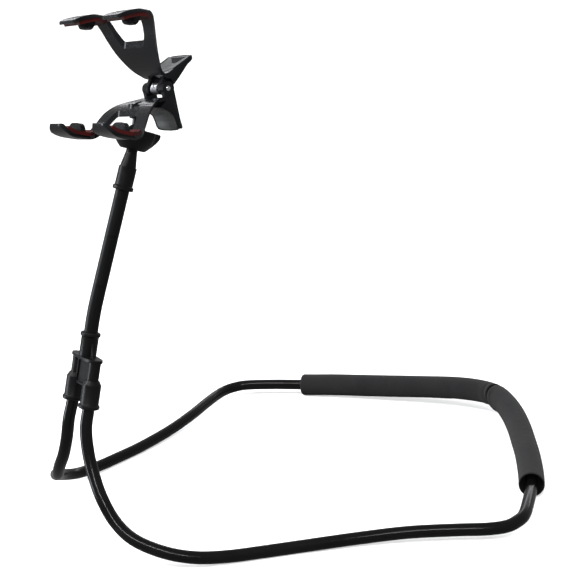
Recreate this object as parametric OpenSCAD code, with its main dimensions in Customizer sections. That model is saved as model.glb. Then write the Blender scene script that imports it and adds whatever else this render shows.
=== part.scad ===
// Neck phone holder: a bendable loop for the neck, an arm and a spring clip with four claws.
// Millimetres, +Z up. The loop lies on the surface, the clip is at the front, the foam at the back (+Y).

/* [Neck loop] */
// Half the width of the loop, to the centre of its tube
loop_half_width = 186; // [160:1:210]
// Reach of the loop from the connector plate to the back of the foam
loop_reach = 324; // [290:1:360]
// Height of the connector plate over the surface
plate_height = 119; // [110:1:130]
// Thickness of the loop tube
tube_d = 8.2; // [7:0.1:9]
// How far the connector plate lies in front of the middle of the whole object
plate_to_middle = 156.4; // [120:0.1:200]

/* [Foam sleeve] */
// Thickness of the foam sleeve
foam_d = 17.4; // [15:0.1:17.4]
// Width of the mouth at each end of the foam
foam_mouth_d = 12.4; // [10:0.1:13]
// Share of its radius that the foam loses in each crease at its bend
foam_crease_share = 0.07; // [0:0.01:0.12]

/* [Three-way connector] */
// Backward lean of the connector in degrees
stem_lean = 16; // [10:1:22]
// Distance between the two leg stubs
leg_pitch = 26.4; // [24:0.1:32]
// Thickness of a leg stub
stub_d = 7.6; // [6:0.1:7.8]
// Length of a leg stub under the plate
stub_len = 21; // [18:0.5:23]
// Width of the plate from side to side
plate_w = 37; // [35:0.5:44]
// Width of the plate from front to back
plate_depth = 13; // [12:0.5:16]
// Thickness of the plate
plate_t = 2; // [1.5:0.1:3]
// Outside of the arm barrel
barrel_d = 11.4; // [11:0.1:13]
// Height of the arm barrel over the plate, lip included
barrel_len = 17.5; // [15:0.5:19]
// Thickness of the web between the stubs
web_t = 3; // [2:0.1:4]
// Height of the web under the plate
web_drop = 13; // [8:0.5:14]
// Height of the ribs beside the barrel
rib_rise = 11; // [6:0.5:12]
// Outside of a leg coupler
coupler_d = 12.3; // [11.6:0.1:13]
// Start of a coupler under the plate
coupler_top = 14.6; // [12:0.1:16]
// End of a coupler under the plate, lip included
coupler_end = 29.3; // [27:0.1:30]
// Height of the slanted shoulder of a coupler
shoulder_h = 2.2; // [1:0.1:3]

/* [Lips] */
// How far a lip stands out at each side
lip_out = 0.9; // [0.5:0.1:1.4]
// Height of a lip
lip_h = 3; // [2:0.1:4]
// Bevel of a lip
lip_bevel = 0.6; // [0.2:0.1:0.8]

/* [Arm] */
// Thickness of the arm
arm_d = 9.2; // [8.4:0.1:9.4]
// Backward lean of the arm in degrees
arm_lean = 21.5; // [17:0.5:26]
// Depth of the arm in the barrel
arm_depth = 14; // [10:0.5:15]
// Length of the arm from the barrel to its lowest bend
root_len = 14; // [12:0.5:18]
// Length of the arm between two bends
bend_pitch = 33; // [28:0.5:40]
// Length of the arm from its highest bend to the lip of the end sleeve
tip_len = 14.4; // [12:0.1:20]
// Depth of the open edge under each bend
edge_drop = 3; // [2.5:0.1:3.4]

/* [Ball joint] */
// Outside of the end sleeve
sleeve_d = 11.8; // [11.4:0.1:13]
// Length of the end sleeve, lip included
sleeve_len = 15.4; // [13:0.1:18]
// Thickness of the shank where it leaves the sleeve
shank_d = 10.6; // [9:0.1:11]
// Thickness of the shank at its neck
neck_d = 7.4; // [6.6:0.1:8]
// Distance from the end sleeve to the ball centre
ball_up = 21.9; // [20:0.1:24]
// Width of the ball
ball_d = 13; // [12:0.1:13.4]
// Wall of the liner cup round the ball
seat_wall = 1.05; // [0.9:0.05:1.2]
// Wall of the socket cup
cup_wall = 1.45; // [1.2:0.05:1.6]
// Height of the cup over the ball centre
cup_rise = 2.6; // [2:0.1:3]
// Width of the slots in the cup
slot_w = 1.6; // [1:0.1:2]
// Width over the lobes of the locking nut
nut_d = 32; // [29:0.5:34]
// Width of the locking nut at its foot
nut_foot_d = 16; // [14:0.5:18]
// Height of the locking nut
nut_h = 13.4; // [12:0.1:14]
// Height of the straight rim of the locking nut
nut_rim_h = 4.6; // [3:0.1:6]
// Number of lobes of the locking nut
nut_lobes = 5; // [4:1:6]
// Depth of the hollow between two lobes
lobe_depth = 3; // [1:0.1:3.4]
// Thickness of the stem of the ball
stem_d = 6; // [5:0.1:7]
// Width of the flange of the stem
flange_d = 10; // [8:0.5:11]

/* [Clip] */
// Turn of the clip to the side, as in the photo, in degrees
clip_yaw = 7.25; // [-20:0.25:20]
// Roll of the clip, as in the photo, in degrees
clip_roll = 3.9; // [-10:0.1:10]
// Backward lean of the clip in degrees
clip_tilt = 15.9; // [6:0.1:26]
// Reach of the jaws in front of the pin
jaw_reach = 58; // [54:0.5:60]
// Rise of the upper jaw over the pin
upper_rise = 42; // [40:0.1:44]
// Drop of the lower jaw under the pin
lower_drop = 36.4; // [35.5:0.1:38]
// Thickness of the jaws
jaw_t = 2.4; // [2.2:0.1:2.8]
// Half the width over the claws
claw_half_span = 38.5; // [37:0.5:41]
// Pin position behind the ball
pin_back = 13.5; // [12:0.1:15]
// Pin position over the ball
pin_up = 31; // [30:0.1:33]
// Thickness of the pin
pin_d = 3.2; // [2.8:0.1:3.6]
// Width of the pin heads
pin_head_d = 3.4; // [3.3:0.1:5]
// Thickness of the pin heads
pin_head_t = 0.5; // [0.3:0.1:1]
// Radius of the knuckles round the pin
knuckle_r = 4.4; // [4.2:0.1:4.8]
// Thickness of one knuckle
knuckle_w = 3.3; // [3:0.1:3.6]
// Outer side of the upper jaw's knuckles, from the middle
inner_knuckle_x = 9; // [8.9:0.1:9.4]
// Depth of the teeth in front of the phone
tooth_drop = 7.8; // [6.5:0.1:8.4]
// Thickness of a tooth
tooth_t = 3.4; // [2.4:0.1:3.8]
// Width of a tooth
tooth_w = 17.6; // [15:0.1:18.2]
// Place of the teeth as a share of the reach of the jaws
tooth_share = 0.6845; // [0.66:0.0005:0.7]
// Thickness of the boss over the ball stem
boss_d = 13; // [12:0.1:14]
// Height of the boss foot over the ball centre
boss_up = 11.5; // [11:0.1:12.5]
// Height of the boss
boss_h = 7; // [6:0.1:7.4]

/* [Claw pads] */
// Thickness of the claw pads
claw_pad_t = 2.3; // [1.8:0.1:2.5]
// Width of the claw pads
claw_pad_w = 20.2; // [19:0.1:20.8]

/* [Wing pads] */
// Width of a wing pad from side to side
wing_pad_w = 22; // [18:0.5:24]
// Height of a wing pad
wing_pad_h = 12; // [9:0.5:13]
// Thickness of a wing pad
wing_pad_t = 1.8; // [1.4:0.1:2.4]
// Radius of the dish in a wing pad
dish_r = 46; // [40:1:60]

/* [Spring and screw] */
// Thickness of the spring wire
wire_d = 1.2; // [1:0.1:1.3]
// Radius of the spring curls, to the centre of the wire
curl_r = 3.3; // [3.2:0.1:3.6]
// Distance from one curl to the next
curl_pitch = 1.9; // [1.8:0.05:2.1]
// Length of each spring end
spring_leg = 13.5; // [10:0.5:15]
// Thickness of the stem screw
screw_d = 3; // [2.5:0.1:3.2]
// Width of the head of the stem screw
screw_head_d = 5.6; // [5:0.1:6]
// Length of the stem screw under its head
screw_len = 9; // [8:0.5:10]

/* [Fits] */
// Gap round a piece that is fixed in another
fixed_gap = 0.1; // [0.05:0.05:0.2]
// Gap round a piece that moves in another
moving_gap = 0.3; // [0.25:0.05:0.4]
// Gap under a pad
glue_gap = 0.05; // [0.02:0.01:0.1]

/* [Hidden] */
$fn = 64;
// Overrun of every cut past the face that it leaves
past = 1;

tube_r = tube_d / 2;
arm_r = arm_d / 2;
ball_r = ball_d / 2;
tube_sides = 16;
loop_steps = 3;
foam_first_count = 21;

// Places of the right half of the loop, from the leg under its coupler to the back of the foam:
// shares of the half width, of the reach and of the height of the tube's centre under the plate
loop_shares = [
    [0.0774, -0.0370, 0.643], [0.0968, -0.0426, 0.521], [0.1355, -0.0457, 0.404],
    [0.1930, -0.0469, 0.290], [0.2543, -0.0398, 0.180], [0.3435, -0.0256, 0.108],
    [0.4446, 0.0093, 0.060], [0.5075, 0.0571, 0.0235], [0.5516, 0.1157, 0.0050],
    [0.5957, 0.1821, 0.0012], [0.6435, 0.2515, 0.0012], [0.7220, 0.3469, 0.0095],
    [0.8097, 0.4321, 0.0220], [0.9048, 0.5049, 0.0272], [0.9704, 0.5556, 0.0263],
    [0.9984, 0.5895, 0.0285], [0.9968, 0.6157, 0.0340], [0.9737, 0.6454, 0.0385],
    [0.8892, 0.6966, 0.0415], [0.7898, 0.7509, 0.0415], [0.6441, 0.8145, 0.0530],
    [0.4505, 0.8880, 0.0696], [0.2575, 0.9528, 0.0931], [0.1070, 0.9886, 0.1123],
    [0.0, 1.0, 0.1158]
];
tube_top = stub_len + moving_gap;
tube_out = coupler_end + tube_top - stub_len + lip_h / 2;

function leg_point(s) = [leg_pitch / 2, -s * sin(stem_lean), plate_height - s * cos(stem_lean)];
function loop_point(q) = [
    q[0] * loop_half_width, q[1] * loop_reach, tube_r + q[2] * (plate_height - tube_r)
];
right_half = concat([leg_point(tube_top), leg_point(tube_out)], [for (q = loop_shares) loop_point(q)]);
half_count = len(right_half);
loop_places = concat(
    right_half,
    [for (i = [half_count - 2:-1:0]) [-right_half[i][0], right_half[i][1], right_half[i][2]]]
);

function unit(v) = v / norm(v);
// One place on a smooth curve between b and c, with a and d as the places before and after
function curve_at(a, b, c, d, t) =
    ((2 * b) + (c - a) * t + (2 * a - 5 * b + 4 * c - d) * t * t
        + (3 * b - a - 3 * c + d) * t * t * t) / 2;
function curve(p, steps) = concat(
    [for (i = [0:len(p) - 2]) for (k = [0:steps - 1])
        curve_at(
            i == 0 ? 2 * p[0] - p[1] : p[i - 1], p[i], p[i + 1],
            i == len(p) - 2 ? 2 * p[i + 1] - p[i] : p[i + 2], k / steps
        )],
    [p[len(p) - 1]]
);
function along(p, i) = unit(p[min(i + 1, len(p) - 1)] - p[max(i - 1, 0)]);
function tangents(p) = [for (i = [0:len(p) - 1]) along(p, i)];
function across(n, t) = unit(n - (n * t) * t);
// Sideways directions along a curve, each carried on from the one before, so the sweep doesn't twist
function carried(ts, n) = [
    for (i = 0, m = across(n, ts[0]); i < len(ts);
        i = i + 1, m = i < len(ts) ? across(m, ts[i]) : m) m
];
function ring(p, t, n, r, sides) = [
    for (k = [0:sides - 1]) p + r * (cos(k * 360 / sides) * n + sin(k * 360 / sides) * cross(t, n))
];
function ring_faces(rings, sides, first) = [
    for (i = [0:rings - 2]) for (k = [0:sides - 1])
        [
            first + i * sides + k, first + (i + 1) * sides + k,
            first + (i + 1) * sides + (k + 1) % sides, first + i * sides + (k + 1) % sides
        ]
];
function turned(faces) = [for (f = faces) [f[3], f[2], f[1], f[0]]];

// A solid tube of radius r along the places p
module solid_tube(p, r, sides, start) {
    ts = tangents(p);
    ns = carried(ts, start);
    count = len(p);
    polyhedron(
        points = [for (i = [0:count - 1]) each ring(p[i], ts[i], ns[i], r, sides)],
        faces = concat(
            ring_faces(count, sides, 0),
            [[for (k = [0:sides - 1]) k]],
            [[for (k = [sides - 1:-1:0]) (count - 1) * sides + k]]
        )
    );
}

// A hollow tube along the places p, with an outer and an inner radius for each place
module hollow_tube(p, outer, inner, sides, start) {
    ts = tangents(p);
    ns = carried(ts, start);
    count = len(p);
    second = count * sides;
    polyhedron(
        points = concat(
            [for (i = [0:count - 1]) each ring(p[i], ts[i], ns[i], outer[i], sides)],
            [for (i = [0:count - 1]) each ring(p[i], ts[i], ns[i], inner[i], sides)]
        ),
        faces = concat(
            ring_faces(count, sides, 0),
            turned(ring_faces(count, sides, second)),
            [for (k = [0:sides - 1]) [k, (k + 1) % sides, second + (k + 1) % sides, second + k]],
            [for (k = [0:sides - 1]) let (a = (count - 1) * sides)
                [a + (k + 1) % sides, a + k, second + a + k, second + a + (k + 1) % sides]]
        )
    );
}

// Corners given as [x, y, radius], each replaced by an arc
function corner_arc(a, b, c, r, steps) = let (
    u = unit(a - b), v = unit(c - b),
    half = acos(max(-1, min(1, u * v))) / 2,
    m = b + unit(u + v) * r / sin(half),
    from = b + u * r / tan(half) - m,
    to = b + v * r / tan(half) - m,
    a0 = atan2(from[1], from[0]), a1 = atan2(to[1], to[0]),
    sweep = a1 - a0 > 180 ? a1 - a0 - 360 : a1 - a0 < -180 ? a1 - a0 + 360 : a1 - a0
) [for (k = [0:steps]) m + r * [cos(a0 + sweep * k / steps), sin(a0 + sweep * k / steps)]];
function rounded(q, steps) = let (n = len(q)) [
    for (i = [0:n - 1]) let (
        a = [q[(i + n - 1) % n][0], q[(i + n - 1) % n][1]],
        b = [q[i][0], q[i][1]],
        c = [q[(i + 1) % n][0], q[(i + 1) % n][1]]
    ) each (q[i][2] > 0 ? corner_arc(a, b, c, q[i][2], steps) : [b])
];

// Sideways directions and offset lines of a flat curve
function flat_normal(p, i) = let (t = along(p, i)) [-t[1], t[0]];
function offset_line(p, from, to, d) = [for (i = [from:to]) p[i] + d * flat_normal(p, i)];
function backwards(p) = [for (i = [len(p) - 1:-1:0]) p[i]];
function end_cap(p, i, r, sign) = let (t = along(p, i), n = flat_normal(p, i))
    [for (k = [1:5]) p[i] + r * (cos(k * 30) * n * sign + sin(k * 30) * t * sign)];
function strap(p, r) = let (last = len(p) - 1) concat(
    offset_line(p, 0, last, r), end_cap(p, last, r, 1),
    backwards(offset_line(p, 0, last, -r)), end_cap(p, 0, r, -1)
);
function band(p, from, to, d0, d1) =
    concat(offset_line(p, from, to, d0), backwards(offset_line(p, from, to, d1)));

// Placing of the pieces
root_hinge_s = plate_t / 2 + barrel_len + root_len;
root_hinge = [0, root_hinge_s * sin(stem_lean), plate_height + root_hinge_s * cos(stem_lean)];
sleeve_s = 2 * bend_pitch + tip_len;
ball_s = sleeve_s + sleeve_len + ball_up;
ball_place = root_hinge + ball_s * [0, sin(arm_lean), cos(arm_lean)];
nut_foot_s = ball_s + cup_rise - nut_h + moving_gap;

module centred() {
    translate([0, -plate_to_middle, 0]) children();
}

module on_plate() {
    centred() translate([0, 0, plate_height]) rotate([-stem_lean, 0, 0]) children();
}

module on_arm(s) {
    centred() translate(root_hinge) rotate([-arm_lean, 0, 0]) translate([0, 0, s]) children();
}

module on_clip() {
    centred() translate(ball_place) rotate([-clip_tilt, -clip_roll, clip_yaw]) children();
}

module on_pin() {
    on_clip() translate([0, pin_back, pin_up]) children();
}

// A flat shape drawn as (forward, up), made w wide from side to side about x
module sideways(w, x) {
    translate([x, 0, 0]) rotate([0, 0, -90]) rotate([90, 0, 0]) linear_extrude(w, center = true) children();
}

// A flat shape drawn as (sideways, up), made t thick towards the back from the place at forward f
module facing(t, f) {
    translate([0, -f, 0]) rotate([90, 0, 0]) linear_extrude(t, center = true) children();
}

// A ring with bevelled edges, from height z
module lip(d, z) {
    r = d / 2 + lip_out;
    translate([0, 0, z]) {
        cylinder(r1 = r - lip_bevel, r2 = r, h = lip_bevel);
        translate([0, 0, lip_bevel]) cylinder(r = r, h = lip_h - 2 * lip_bevel);
        translate([0, 0, lip_h - lip_bevel]) cylinder(r1 = r, r2 = r - lip_bevel, h = lip_bevel);
    }
}

// Neck loop
loop_line = curve(loop_places, loop_steps);

module neck_tube() {
    color([0.05, 0.05, 0.06]) centred() solid_tube(loop_line, tube_r, tube_sides, [0, 1, 0]);
}

foam_line = [
    for (i = [foam_first_count * loop_steps:(len(loop_places) - 1 - foam_first_count) * loop_steps]) loop_line[i]
];
foam_count = len(foam_line);
foam_middle = (foam_count - 1) / 2;
foam_r = foam_d / 2;
function crease_at(i) = abs(i - foam_middle) == 2 || i == foam_middle ? foam_crease_share : 0;
foam_outer = [for (i = [0:foam_count - 1]) foam_r * (1 - crease_at(i))];
foam_inner = [
    for (i = [0:foam_count - 1]) i == 0 || i == foam_count - 1 ? foam_mouth_d / 2
        : i == 1 || i == foam_count - 2 ? (foam_mouth_d + tube_d) / 4 : tube_r + moving_gap
];

module foam_sleeve() {
    color([0.16, 0.16, 0.16]) centred()
        hollow_tube(foam_line, foam_outer, foam_inner, tube_sides, [0, 0, 1]);
}

// Three-way connector
function slab(w, h, r) = rounded([[-w, -h, r], [w, -h, r], [w, h, r], [-w, h, r]], 8);
plate_outline = slab(plate_w / 2, plate_depth / 2, plate_depth * 0.49);
rib_w = plate_w / 2 - barrel_d / 2;

module y_body() {
    color([0.07, 0.07, 0.07]) on_plate() {
        difference() {
            union() {
                translate([0, 0, -plate_t / 2]) linear_extrude(plate_t) polygon(plate_outline);
                cylinder(d = barrel_d, h = plate_t / 2 + barrel_len - lip_h / 2);
                lip(barrel_d, plate_t / 2 + barrel_len - lip_h);
                rotate([90, 0, 0]) linear_extrude(web_t, center = true) polygon([
                    [-barrel_d / 2 - rib_w * 0.62, 0], [barrel_d / 2 + rib_w * 0.62, 0],
                    [barrel_d / 2 - web_t / 4, rib_rise], [-barrel_d / 2 + web_t / 4, rib_rise]
                ]);
            }
            translate([0, 0, plate_t / 2 + barrel_len - arm_depth])
                cylinder(r = arm_r + fixed_gap, h = arm_depth + past);
        }
        for (side = [-1, 1]) translate([side * leg_pitch / 2, 0, -stub_len])
            cylinder(d = stub_d, h = stub_len);
        translate([-leg_pitch / 2, -web_t / 2, -web_drop]) cube([leg_pitch, web_t, web_drop]);
    }
}

module coupler(side) {
    on_plate() translate([side * leg_pitch / 2, 0, 0]) difference() {
        union() {
            translate([0, 0, -coupler_top - shoulder_h])
                cylinder(d1 = coupler_d, d2 = stub_d + lip_out, h = shoulder_h);
            translate([0, 0, -coupler_end + lip_h / 2])
                cylinder(d = coupler_d, h = coupler_end - lip_h / 2 - coupler_top - shoulder_h);
            lip(coupler_d, -coupler_end);
        }
        translate([0, 0, -stub_len]) cylinder(r = stub_d / 2 + fixed_gap, h = stub_len);
        translate([0, 0, -coupler_end - past])
            cylinder(r = tube_r + fixed_gap * 2, h = coupler_end + past - stub_len);
    }
}

module left_coupler() {
    color([0.07, 0.07, 0.07]) coupler(-1);
}

module right_coupler() {
    color([0.07, 0.07, 0.07]) coupler(1);
}

// Arm: four rigid lengths, each with a ball-shaped foot in the hollow top of the one below
hollow_r = arm_r + moving_gap;
edge_in = acos(edge_drop / hollow_r);
arc_steps = 10;

module arm_length(from, to, foot, top) {
    rotate_extrude() polygon(concat(
        foot ? [for (k = [0:arc_steps])
            [arm_r * sin(k * 90 / arc_steps), from - arm_r * cos(k * 90 / arc_steps)]]
            : [[0, from], [arm_r, from]],
        top ? concat(
            [[arm_r, to - edge_drop]],
            [for (k = [arc_steps:-1:0]) [hollow_r * sin(k * edge_in / arc_steps),
                to - hollow_r * cos(k * edge_in / arc_steps)]]
        ) : [[arm_r, to], [0, to]]
    ));
}

module arm_root() {
    color([0.06, 0.06, 0.06]) on_plate()
        arm_length(root_hinge_s - root_len - arm_depth + fixed_gap, root_hinge_s, false, true);
}

module arm_lower() {
    color([0.06, 0.06, 0.06]) on_arm(0) arm_length(0, bend_pitch, true, true);
}

module arm_upper() {
    color([0.06, 0.06, 0.06]) on_arm(bend_pitch) arm_length(0, bend_pitch, true, true);
}

module arm_tip() {
    color([0.06, 0.06, 0.06]) on_arm(2 * bend_pitch)
        arm_length(0, tip_len + sleeve_len * 0.7 - fixed_gap, true, false);
}

module end_sleeve() {
    color([0.07, 0.07, 0.07]) on_arm(sleeve_s) difference() {
        union() {
            lip(sleeve_d, 0);
            translate([0, 0, lip_h / 2]) cylinder(d = sleeve_d, h = sleeve_len - lip_h / 2);
        }
        translate([0, 0, -past]) cylinder(r = arm_r + fixed_gap, h = past + sleeve_len * 0.7);
        cylinder(r = neck_d / 2 + fixed_gap, h = sleeve_len + past);
    }
}

// Ball joint
seat_in = ball_r + moving_gap / 2;
seat_out = seat_in + seat_wall;
cup_in = seat_out + moving_gap / 2;
cup_out = cup_in + cup_wall;
shank_h = ball_up - cup_out;

module ball_socket() {
    color([0.07, 0.07, 0.07]) on_arm(sleeve_s + sleeve_len) difference() {
        union() {
            translate([0, 0, -sleeve_len * 0.3 + fixed_gap]) cylinder(d = neck_d, h = sleeve_len * 0.3);
            cylinder(d1 = shank_d, d2 = neck_d, h = shank_h * 0.8);
            translate([0, 0, shank_h * 0.7]) cylinder(d = neck_d, h = shank_h * 0.5);
            translate([0, 0, ball_up]) sphere(r = cup_out);
        }
        translate([0, 0, ball_up]) sphere(r = cup_in);
        translate([0, 0, ball_up + cup_rise]) cylinder(r = cup_out + past, h = cup_out);
        for (turn = [0, 90]) translate([0, 0, ball_up - cup_in * 0.4]) rotate([0, 0, turn + 45])
            translate([-cup_out - past, -slot_w / 2, 0]) cube([2 * (cup_out + past), slot_w, cup_out]);
    }
}

module ball_seat() {
    color([0.75, 0.75, 0.72]) on_arm(ball_s) difference() {
        sphere(r = seat_out);
        sphere(r = seat_in);
        translate([0, 0, cup_rise - glue_gap]) cylinder(r = seat_out + past, h = seat_out);
    }
}

nut_in = cup_out + moving_gap;
nut_r = nut_d / 2;
nut_side = nut_r - nut_foot_d / 2;
// Hollows between the lobes: each is cut by a cylinder that leans out with the side of the nut
hollow_place = nut_r + nut_r * 0.28;

module locking_nut() {
    color([0.06, 0.06, 0.06]) on_arm(nut_foot_s) difference() {
        rotate_extrude() polygon([
            [neck_d / 2 + moving_gap * 2, 0], [nut_foot_d / 2 - lip_bevel, 0], [nut_foot_d / 2, lip_bevel],
            [nut_r - nut_side * 0.45, (nut_h - nut_rim_h) * 0.45],
            [nut_r - nut_side * 0.12, (nut_h - nut_rim_h) * 0.85],
            [nut_r, nut_h - nut_rim_h * 0.8], [nut_r, nut_h - lip_bevel], [nut_r - lip_bevel, nut_h],
            [nut_in, nut_h], [nut_in, nut_h * 0.48], [neck_d / 2 + moving_gap * 2, nut_h * 0.1]
        ]);
        for (k = [0:nut_lobes - 1]) rotate([0, 0, (k + 0.5) * 360 / nut_lobes + clip_yaw])
            translate([hollow_place, 0, -past])
                cylinder(r = hollow_place - nut_r + lobe_depth, h = nut_h + 2 * past);
    }
}

flange_t = screw_d / 2;
flange_top = boss_up - moving_gap;
screw_head_h = screw_d * 0.8;
screw_seat = boss_up + boss_h - screw_head_h - moving_gap;

module ball_stud() {
    color([0.3, 0.3, 0.3]) on_clip() difference() {
        union() {
            sphere(r = ball_r);
            cylinder(d = stem_d, h = flange_top);
            translate([0, 0, flange_top - flange_t]) cylinder(d = flange_d, h = flange_t);
        }
        translate([0, 0, screw_seat - screw_len - past])
            cylinder(d = screw_d + 2 * fixed_gap, h = screw_len + 2 * past);
    }
}

module stud_screw() {
    color([0.75, 0.75, 0.75]) on_clip() difference() {
        union() {
            translate([0, 0, screw_seat - screw_len]) cylinder(d = screw_d, h = screw_len + fixed_gap);
            translate([0, 0, screw_seat]) cylinder(d = screw_head_d, h = screw_head_h);
        }
        translate([0, 0, screw_seat + screw_head_h * 0.4]) cylinder(d = screw_d, h = screw_d, $fn = 6);
    }
}

// Clip. Side view of each jaw as shares of the reach and of the rise or drop, from wing to claw tip
upper_shares = [
    [-0.2483, 0.5143], [-0.1655, 0.3667], [-0.0759, 0.2190], [0.0345, 0.1762], [0.1586, 0.2619],
    [0.2931, 0.4667], [0.3897, 0.6714], [0.4655, 0.8571], [0.5345, 0.9714], [0.6293, 1.0000],
    [0.7328, 0.9786], [0.8276, 0.9333], [0.9052, 0.8881], [0.9517, 0.8476]
];
lower_shares = [
    [-0.2069, -0.6456], [-0.1414, -0.4396], [-0.0724, -0.2418], [0.0276, -0.2005], [0.1483, -0.2720],
    [0.2707, -0.3736], [0.3690, -0.5357], [0.4414, -0.7582], [0.5138, -0.9341], [0.6207, -0.9973],
    [0.7414, -1.0000], [0.8448, -0.9835], [0.9276, -0.9313], [0.9793, -0.8462]
];
jaw_steps = 4;
upper_line = curve([for (q = upper_shares) [q[0] * jaw_reach, q[1] * upper_rise]], jaw_steps);
lower_line = curve([for (q = lower_shares) [q[0] * jaw_reach, q[1] * lower_drop]], jaw_steps);
jaw_r = jaw_t / 2;

// Top view of a jaw as shares of the half span and of the reach: wing, hub, palm, arm and claw
plan_shares = [
    [0.35, -0.40, 0.08], [0.335, -0.05, 0.0], [0.335, 0.10, 0.05], [0.62, 0.31, 0.25], [0.87, 0.50, 0.20],
    [1.0, 0.66, 0.15], [1.0, 1.0, 0.17], [0.4286, 1.0, 0.17], [0.4286, 0.66, 0.10], [0.55, 0.52, 0.10],
    [0.46, 0.43, 0.08], [0.30, 0.36, 0.14]
];
plan_right = [for (q = plan_shares) [q[0] * claw_half_span, -q[1] * jaw_reach, q[2] * claw_half_span]];
plan_left = [for (i = [len(plan_right) - 1:-1:0]) [-plan_right[i][0], plan_right[i][1], plan_right[i][2]]];
plan_outline = rounded(concat(plan_right, plan_left), 6);
plan_high = 2 * (upper_rise + lower_drop);

// Front view of a jaw: the outer edges of both claws are rounded
crown_out = claw_half_span * 0.997;
crown_in = claw_half_span * 0.4316;
crown_corner = claw_half_span * 0.11;

function crown_outline(top) = let (
    right = [
        [crown_out, -top, 0], [crown_out, top, crown_corner], [crown_in, top, crown_corner],
        [crown_in, top * 0.86, 0]
    ]
) rounded(concat(right, [for (i = [len(right) - 1:-1:0]) [-right[i][0], right[i][1], right[i][2]]]), 6);

module jaw_sheet(line, top) {
    intersection() {
        sideways(2 * claw_half_span + past, 0) polygon(strap(line, jaw_r));
        translate([0, 0, -plan_high / 2]) linear_extrude(plan_high) polygon(plan_outline);
        facing(3 * jaw_reach, 0) polygon(crown_outline(top));
    }
}

// A knuckle with its wall: the wall reaches from the pin along the sheet to the end of the wing
function wall_tip(line, sign) = line[0] - sign * jaw_r * 0.9 * flat_normal(line, 0);

module knuckle(x, line, sign) {
    sideways(knuckle_w, x) polygon([
        [-knuckle_r * 0.98, 0], wall_tip(line, sign), line[jaw_steps], line[2 * jaw_steps],
        line[3 * jaw_steps], [knuckle_r * 0.98, 0]
    ]);
    translate([x - knuckle_w / 2, 0, 0]) rotate([0, 90, 0]) cylinder(r = knuckle_r, h = knuckle_w);
}

module pin_bore(r) {
    translate([-claw_half_span, 0, 0]) rotate([0, 90, 0]) cylinder(r = r, h = 2 * claw_half_span);
}

inner_x = inner_knuckle_x - knuckle_w / 2;
outer_x = inner_knuckle_x + moving_gap + knuckle_w / 2;
claw_x = claw_half_span * 0.7143;
tooth_front = jaw_reach * tooth_share;
upper_face = upper_rise - jaw_r;
lower_face = -lower_drop + jaw_r;

function tooth_outline(x, face, sign, room) = let (
    half = tooth_w / 2 + room, foot = tooth_drop + room, corner = tooth_w * 0.34
) rounded([
    [x - half, face + sign * jaw_r, 0], [x + half, face + sign * jaw_r, 0],
    [x + half, face - sign * foot, corner], [x - half, face - sign * foot, corner]
], 8);

module teeth(face, sign, room) {
    for (side = [-1, 1]) facing(tooth_t + 2 * room, tooth_front + tooth_t / 2)
        polygon(tooth_outline(side * claw_x, face, sign, room));
}

crease_r = jaw_r * 0.8;
crease_index = len(upper_line) - 1 - 2 * jaw_steps - 1;
crease_place = upper_line[crease_index] + (jaw_r + crease_r * 0.5) * flat_normal(upper_line, crease_index);

module upper_jaw() {
    color([0.08, 0.08, 0.09]) on_pin() difference() {
        union() {
            jaw_sheet(upper_line, upper_rise + jaw_r);
            knuckle(-inner_x, upper_line, 1);
            knuckle(inner_x, upper_line, 1);
            teeth(upper_face, 1, 0);
        }
        pin_bore(pin_d / 2 + moving_gap);
        // Shallow crease across the outer side of the claws
        translate([-claw_half_span, -crease_place[0], crease_place[1]]) rotate([0, 90, 0])
            cylinder(r = crease_r, h = 2 * claw_half_span);
    }
}

module lower_jaw() {
    color([0.08, 0.08, 0.09]) on_clip() difference() {
        union() {
            translate([0, pin_back, pin_up]) {
                jaw_sheet(lower_line, -lower_drop - jaw_r);
                knuckle(-outer_x, lower_line, -1);
                knuckle(outer_x, lower_line, -1);
                teeth(lower_face, -1, 0);
            }
            translate([0, 0, boss_up]) cylinder(d = boss_d, h = boss_h);
        }
        translate([0, pin_back, pin_up]) pin_bore(pin_d / 2 + fixed_gap);
        translate([0, 0, boss_up - past]) cylinder(d = screw_d + 2 * fixed_gap, h = boss_h + 2 * past);
        translate([0, 0, screw_seat - moving_gap])
            cylinder(d = screw_head_d + 2 * moving_gap, h = pin_up / 2);
    }
}

// Claw pads: a rubber sheet under each claw, with a window for the tooth
pad_start_share = 0.6;
pad_end_share = 0.94;
pad_from = round((len(upper_line) - 1) * pad_start_share);
pad_to = round((len(upper_line) - 1) * pad_end_share);
pad_near = jaw_r + glue_gap;
pad_far = jaw_r + glue_gap + claw_pad_t;

module upper_pad(side) {
    on_pin() difference() {
        intersection() {
            sideways(claw_pad_w, side * claw_x)
                polygon(band(upper_line, pad_from, pad_to, -pad_near, -pad_far));
            translate([0, 0, -plan_high / 2]) linear_extrude(plan_high) polygon(plan_outline);
        }
        teeth(upper_face, 1, fixed_gap);
    }
}

module lower_pad(side) {
    on_pin() difference() {
        intersection() {
            sideways(claw_pad_w, side * claw_x)
                polygon(band(lower_line, pad_from, pad_to, pad_near, pad_far));
            translate([0, 0, -plan_high / 2]) linear_extrude(plan_high) polygon(plan_outline);
        }
        teeth(lower_face, -1, fixed_gap);
    }
}

module upper_left_pad() {
    color([0.35, 0.07, 0.06]) upper_pad(-1);
}

module upper_right_pad() {
    color([0.35, 0.07, 0.06]) upper_pad(1);
}

module lower_left_pad() {
    color([0.35, 0.07, 0.06]) lower_pad(-1);
}

module lower_right_pad() {
    color([0.35, 0.07, 0.06]) lower_pad(1);
}

// Wing pads: dished finger rests on the outer side of each wing
wing_outline = slab(wing_pad_w / 2, wing_pad_h / 2, wing_pad_h * 0.46);

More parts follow.
